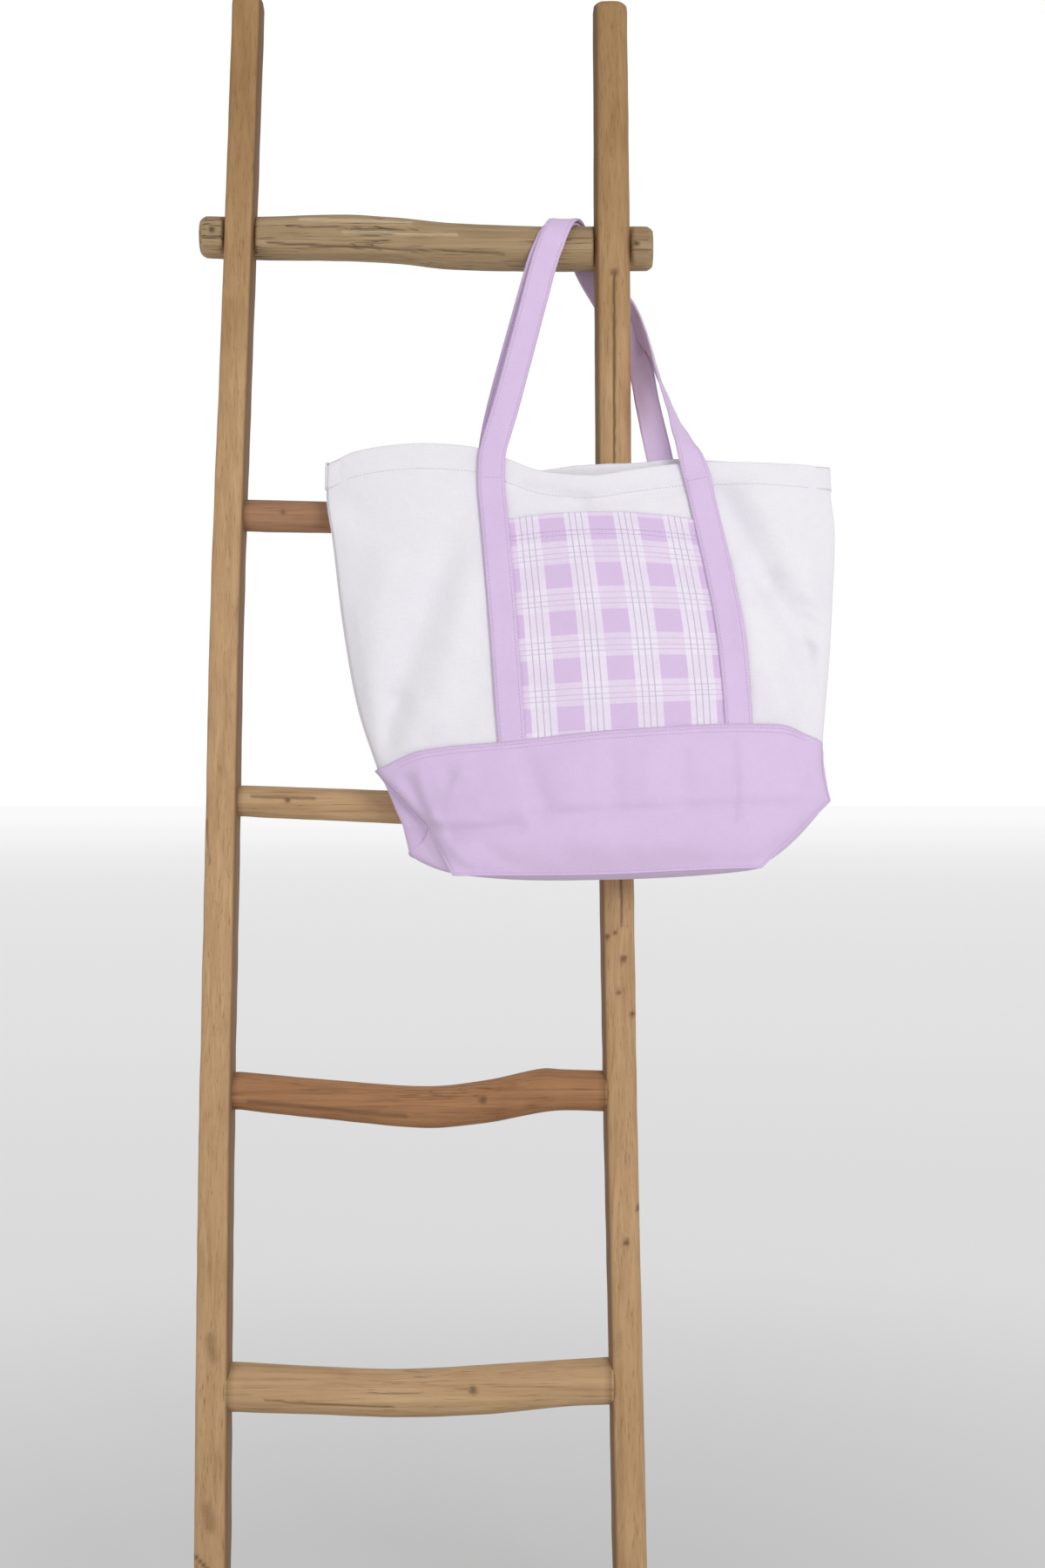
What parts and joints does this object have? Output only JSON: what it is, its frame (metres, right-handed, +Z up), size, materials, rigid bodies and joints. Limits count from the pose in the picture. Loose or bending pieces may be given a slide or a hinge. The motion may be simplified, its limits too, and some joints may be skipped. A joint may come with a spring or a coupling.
{
  "type": "ladder rack with hanging tote bag",
  "caption": "Leaning ladder rack of rough wood with branch rungs; a canvas tote with a coloured base, patch pocket and loop handles hangs from the top rung.",
  "frame": {"origin": "centre of the footprint of the whole part, on the floor under the feet", "axes": "+Z up; the front of the bag faces -Y; +X to the right seen from the front; the ladder leans back towards +Y"},
  "size_m": [0.6662, 0.2116, 1.748],
  "materials": {
    "rail_wood": "sanded bare softwood, worn",
    "top_rung_wood": "weathered bare branch with long drying cracks",
    "dark_rung_wood": "dark red-brown peeled branch",
    "pale_rung_wood": "pale tan peeled branch",
    "red_rung_wood": "red-brown peeled branch",
    "white_canvas": "matt woven cotton canvas",
    "lilac_canvas": "matt woven cotton canvas",
    "plaid_canvas": "matt cotton canvas with a printed check"
  },
  "bodies": {
    "rack": {"left_rail": "rail_wood", "right_rail": "rail_wood", "top_rung": "top_rung_wood", "rung_2": "dark_rung_wood", "rung_3": "pale_rung_wood", "rung_4": "red_rung_wood", "rung_5": "pale_rung_wood"},
    "handles": {"front_handle": "lilac_canvas", "back_handle": "lilac_canvas"},
    "bag": {"front_panel": "white_canvas", "back_panel": "white_canvas", "base_wrap": "lilac_canvas", "pocket": "plaid_canvas", "front_left_strap": "lilac_canvas", "front_right_strap": "lilac_canvas", "back_left_strap": "lilac_canvas", "back_right_strap": "lilac_canvas"}
  },
  "joints": [
    {"name": "handles_lift", "type": "slide", "parent": "rack", "child": "handles", "axis": [0, 0.0872, 0.9962], "range_m": [0, 0.44]},
    {"name": "bag_swing", "type": "hinge", "parent": "handles", "child": "bag", "pos_m": [0, -0.00484, 1.249], "axis": [-1, 0, 0], "range_deg": [0, 20]}
  ]
}
